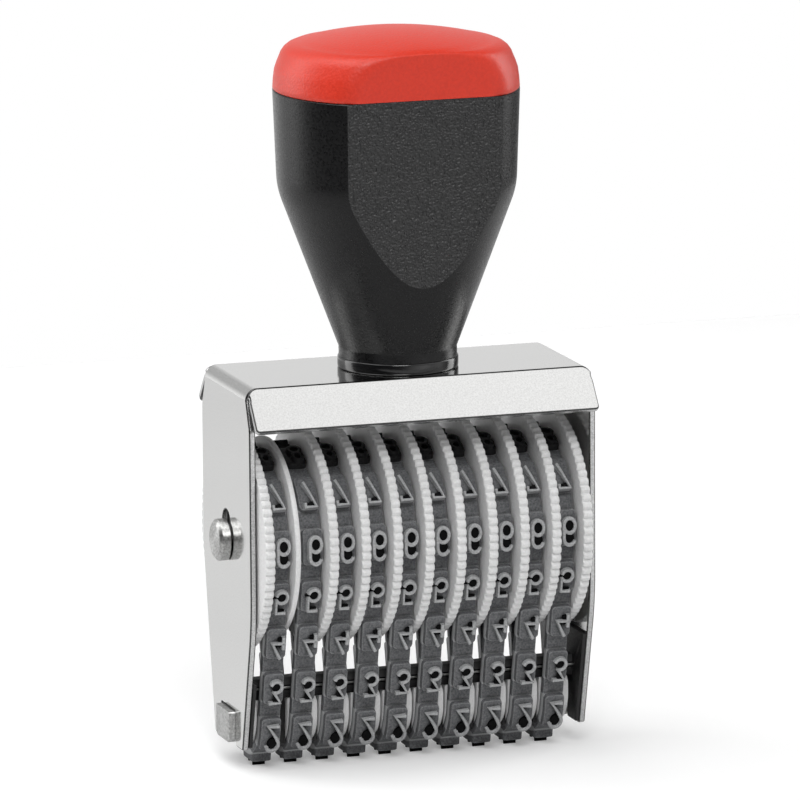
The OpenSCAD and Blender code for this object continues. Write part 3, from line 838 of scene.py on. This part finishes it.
grip_r = 18.7
shoulder_drop = 15.1
shoulder_r = 12
neck_r = 9.0
neck_h = 1.4
neck_corner_r = 0.8
draft = radians(2.1)
facet_y = 14.1
rim_chamfer = 0.15           # where the body meets the cap
collar_edge_r = 0.3
screw_edge_r = 0.35
body_low, body_high = box_of("handle_body")
grip_joint = body_high.z
grip_steps = 240
grip_step = 0.7              # about the longest straight part of the body's profile


def spun_up(profile, steps=grip_steps):
    """A closed solid about the Z axis from points of radius and height."""
    bm = bmesh.new()
    points = [bm.verts.new((radius, 0, z)) for radius, z in profile]
    edges = [bm.edges.new(pair) for pair in zip(points, points[1:])]
    bmesh.ops.spin(bm, geom=points + edges, cent=(0, 0, 0), axis=(0, 0, 1), angle=2 * pi,
                   steps=steps, use_merge=True)
    bmesh.ops.remove_doubles(bm, verts=bm.verts, dist=0.002)
    bmesh.ops.recalc_face_normals(bm, faces=bm.faces)
    return bm


def divided(points, step):
    """A line's points, with more between them where they are much over a step apart."""
    line = [points[0]]
    for start, end in zip(points, points[1:]):
        count = max(1, round((end - start).length / step))
        line += [start.lerp(end, part / count) for part in range(1, count + 1)]
    return line


def grained_abs(name, roughness, size, depth, detail, sheen, dark, light):
    """ABS with carbon black: deep black, its sheen broken up by the grain etched into the mould,
    which is nearly smooth on the flanks and like leather on the facets."""
    material, tree, shader, place = new_material(name, "#0c0c0d", roughness, ior=1.53)
    shader.inputs["Specular IOR Level"].default_value = sheen
    leather = grain(tree, place, size, detail)
    tree.links.new(tinted(tree, leather, dark, light), shader.inputs["Base Color"])
    tree.links.new(spread(tree, leather, roughness - 0.04, roughness + 0.08),
                   shader.inputs["Roughness"])
    bumped(tree, shader, leather, depth)
    return material


side_line = [
    (neck_r, body_low.z + neck_h, neck_corner_r),
    (grip_r - shoulder_drop * tan(draft), grip_joint - shoulder_drop, shoulder_r)]
flank = rounded([(neck_r, body_low.z, 0)] + side_line
                + [(grip_r, grip_joint - rim_chamfer, 0), (grip_r - rim_chamfer, grip_joint, 0),
                   (0, grip_joint, 0)])
shell = spun_up(divided([Vector((0, body_low.z))] + flank, grip_step))
for side in (-1, 1):
    cut = bmesh.ops.bisect_plane(
        shell, geom=shell.verts[:] + shell.edges[:] + shell.faces[:], clear_outer=True,
        plane_co=(0, side * facet_y, grip_joint), plane_no=(0, side * cos(draft), -sin(draft)))
    outline = [g for g in cut["geom_cut"] if isinstance(g, bmesh.types.BMEdge)]
    for face in bmesh.ops.contextual_create(shell, geom=outline)["faces"]:
        face.material_index = 1
bmesh.ops.recalc_face_normals(shell, faces=shell.faces)
make_piece("handle_shell", shell, "black_plastic",
           grained_abs("satin_black_abs", roughness=0.28, size=0.4, depth=0.02, detail=1,
                       sheen=0.24, dark="#080809", light="#121213"),
           grained_abs("leather_grain_black_abs", roughness=0.45, size=0.34, depth=0.36, detail=0,
                       sheen=0.55, dark="#060607", light="#1c1c1d"),
           node="handle_body", crease=9)


def glossy_abs():
    """The collar's ABS has no grain, so it mirrors the lamps in thin bright lines."""
    material, tree, shader, place = new_material("glossy_black_abs", "#0e0e0f", 0.16, ior=1.53)
    waves = grain(tree, place, 3.0)
    bumped(tree, shader, waves, 0.01)
    return material


make_piece("neck_collar", round_edges(cad_copy("handle_collar"), collar_edge_r, segments=3),
           "black_plastic", glossy_abs(), node="handle_collar", crease=50)
make_piece("grip_screw", round_edges(cad_copy("handle_screw"), screw_edge_r), "turned_steel",
           plated_steel, node="handle_screw")
make_piece("grip_washer", round_edges(cad_copy("screw_washer"), washer_edge_r), "turned_steel",
           plated_steel, node="screw_washer")

# ---- Cap ------------------------------------------------------------------------
# The cap is moulded of red ABS and pressed into the handle. A shallow lens forms its top,
# with a soft crease round it, and the handle's facets run on up its front and rear.

cap_h = box_of("handle_cap")[1].z - grip_joint
lens_r = 13.6
lens_drop = 1.6
lens_steps = 16
facet_blend = 1.6            # how softly the facets pass into the round form
cap_step = 0.6               # about the longest straight part of the cap's profile


def red_abs():
    """Red ABS, moulded: a warm, saturated red under a fine satin grain."""
    material, tree, shader, place = new_material("satin_red_abs", "#db3219", 0.42, ior=1.53)
    fine = grain(tree, place, 0.4)
    tree.links.new(tinted(tree, fine, "#d62f17", "#e0351b"), shader.inputs["Base Color"])
    tree.links.new(spread(tree, fine, 0.38, 0.46), shader.inputs["Roughness"])
    bumped(tree, shader, fine, 0.06)
    return material


def softer(value, limit, blend):
    """The lower of two values, rounded off where they come within a blend of each other."""
    near = max(blend - abs(value - limit), 0) / blend
    return min(value, limit) - near * near * blend / 4


lens_curve = (lens_r ** 2 + lens_drop ** 2) / (2 * lens_drop)
lens = [Vector((lens_curve * sin(turn), cap_h - lens_curve * (1 - cos(turn))))
        for turn in [asin(lens_r / lens_curve) * step / lens_steps for step in range(lens_steps + 1)]]
shoulder = [Vector(p) for p in ((14.4, 7.16), (15.5, 6.98), (16.4, 6.62), (17.0, 6.15), (17.45, 5.5),
                                (17.75, 4.75), (18.06, 4.0), (18.4, 3.0), (18.6, 1.5), (18.68, 0.2),
                                (18.55, 0.05), (0, 0.05))]
cap = spun_up(divided([p + Vector((0, grip_joint)) for p in lens + shoulder], cap_step))
for vert in cap.verts:
    facet = facet_y - (grip_joint - vert.co.z) * tan(draft)
    vert.co.y = copysign(softer(abs(vert.co.y), facet, facet_blend), vert.co.y)
bmesh.ops.recalc_face_normals(cap, faces=cap.faces)
make_piece("cap_dome", cap, "red_plastic", red_abs(), node="handle_cap", crease=60)

# ---- Floor and light ---------------------------------------------------------------
# A white table top in a pale room, under four soft boxes: one overhead, one at each side
# and one in front. Reflections find some places of the room dimmer and some brighter.

floor_half = 0.32            # in metres, as are the lamps' places and sizes
camera_glow = 0.25           # how much brighter the camera sees the table
lamp_aim = Vector((0, 0, 0.06))


def white_table():
    """Matt white laminate, which the camera sees brighter, so that only the shadow is grey."""
    material, tree, shader, place = new_material("white_table", "#e8e8e8", 0.9)
    shader.inputs["Specular IOR Level"].default_value = 0
    cloud = grain(tree, place, 60.0)
    tree.links.new(tinted(tree, cloud, "#e6e6e6", "#eaeaea"), shader.inputs["Base Color"])
    path = add_node(tree, "ShaderNodeLightPath")
    seen = add_node(tree, "ShaderNodeMath", {0: path.outputs["Is Camera Ray"], 1: camera_glow},
                    operation="MULTIPLY")
    glow = add_node(tree, "ShaderNodeEmission", {"Strength": seen.outputs[0]})
    both = add_node(tree, "ShaderNodeAddShader", {0: shader.outputs[0], 1: glow.outputs[0]})
    tree.links.new(both.outputs[0], tree.nodes["Material Output"].inputs["Surface"])
    return material


table = bmesh.new()
bmesh.ops.create_grid(table, x_segments=2, y_segments=2, size=floor_half)
table_mesh = bpy.data.meshes.new("table")
table.to_mesh(table_mesh)
table.free()
table_mesh.materials.append(white_table())
table_top = bpy.data.objects.new("table", table_mesh)
bpy.context.scene.collection.objects.link(table_top)


def soft_box(name, place, size, power):
    """A square lamp turned towards the stamp."""
    lamp = bpy.data.lights.new(name, "AREA")
    lamp.shape = "RECTANGLE"
    lamp.size, lamp.size_y = size
    lamp.energy = power
    holder = bpy.data.objects.new(name, lamp)
    holder.location = place
    holder.rotation_euler = (lamp_aim - Vector(place)).to_track_quat("-Z", "Y").to_euler()
    bpy.context.scene.collection.objects.link(holder)


soft_box("top_box", (-0.45, 0.0, 1.1), (0.9, 0.9), 7)
soft_box("left_box", (-0.8, 0.6, 0.35), (0.4, 0.9), 3)
soft_box("right_box", (1.0, 0.25, 0.35), (0.4, 0.9), 4)
soft_box("front_box", (-0.2, -1.0, 1.0), (0.6, 0.5), 8)

room_light = 0.25            # what the room gives surfaces that scatter light
front_level = 0.12           # what reflections find of the room towards the front left
rear_level = 1.0             # and towards the rear right
# Places of the room that are dimmer or brighter in reflections: a direction, the level
# there, and the cosines of the angles at which the change starts and is full.
room_places = (((-0.19, 0.93, 0.31), 0.55, 0.91, 0.98), ((-0.95, -0.3, 0), 0.22, 0.55, 0.85),
               ((0.31, -0.38, 0.87), 1.45, 0.85, 0.95), ((0.31, -0.93, -0.19), 2.4, 0.85, 0.97),
               ((0.31, 0.42, 0.85), 0.15, 0.78, 0.92), ((0.9, 0.43, -0.05), 0.12, 0.7, 0.92),
               ((0.31, 0.93, 0.19), 0.84, 0.95, 0.985))

world = bpy.data.worlds.new("pale_room")
bpy.context.scene.world = world
world.use_nodes = True
room = world.node_tree
rays = add_node(room, "ShaderNodeLightPath").outputs
heading = add_node(room, "ShaderNodeTexCoord").outputs["Generated"]
backwards = add_node(room, "ShaderNodeVectorMath", {0: heading, 1: (0.6, 0.8, 0)},
                     operation="DOT_PRODUCT").outputs["Value"]
mirrored = spread(room, backwards, front_level, rear_level, -0.95, 0.1)
for direction, level, start, full in room_places:
    towards = add_node(room, "ShaderNodeVectorMath", {0: heading, 1: direction},
                       operation="DOT_PRODUCT").outputs["Value"]
    mirrored = add_node(room, "ShaderNodeMath", {
        0: mirrored, 1: spread(room, towards, 1.0, level, start, full)}, operation="MULTIPLY").outputs[0]
lit = add_node(room, "ShaderNodeMix", {0: rays["Is Glossy Ray"], 2: room_light, 3: mirrored})
seen = add_node(room, "ShaderNodeMix", {0: rays["Is Camera Ray"], 2: lit.outputs[0], 3: 1.0})
room.nodes["Background"].inputs["Color"].default_value = (1, 1, 1, 1)
room.links.new(seen.outputs[0], room.nodes["Background"].inputs["Strength"])
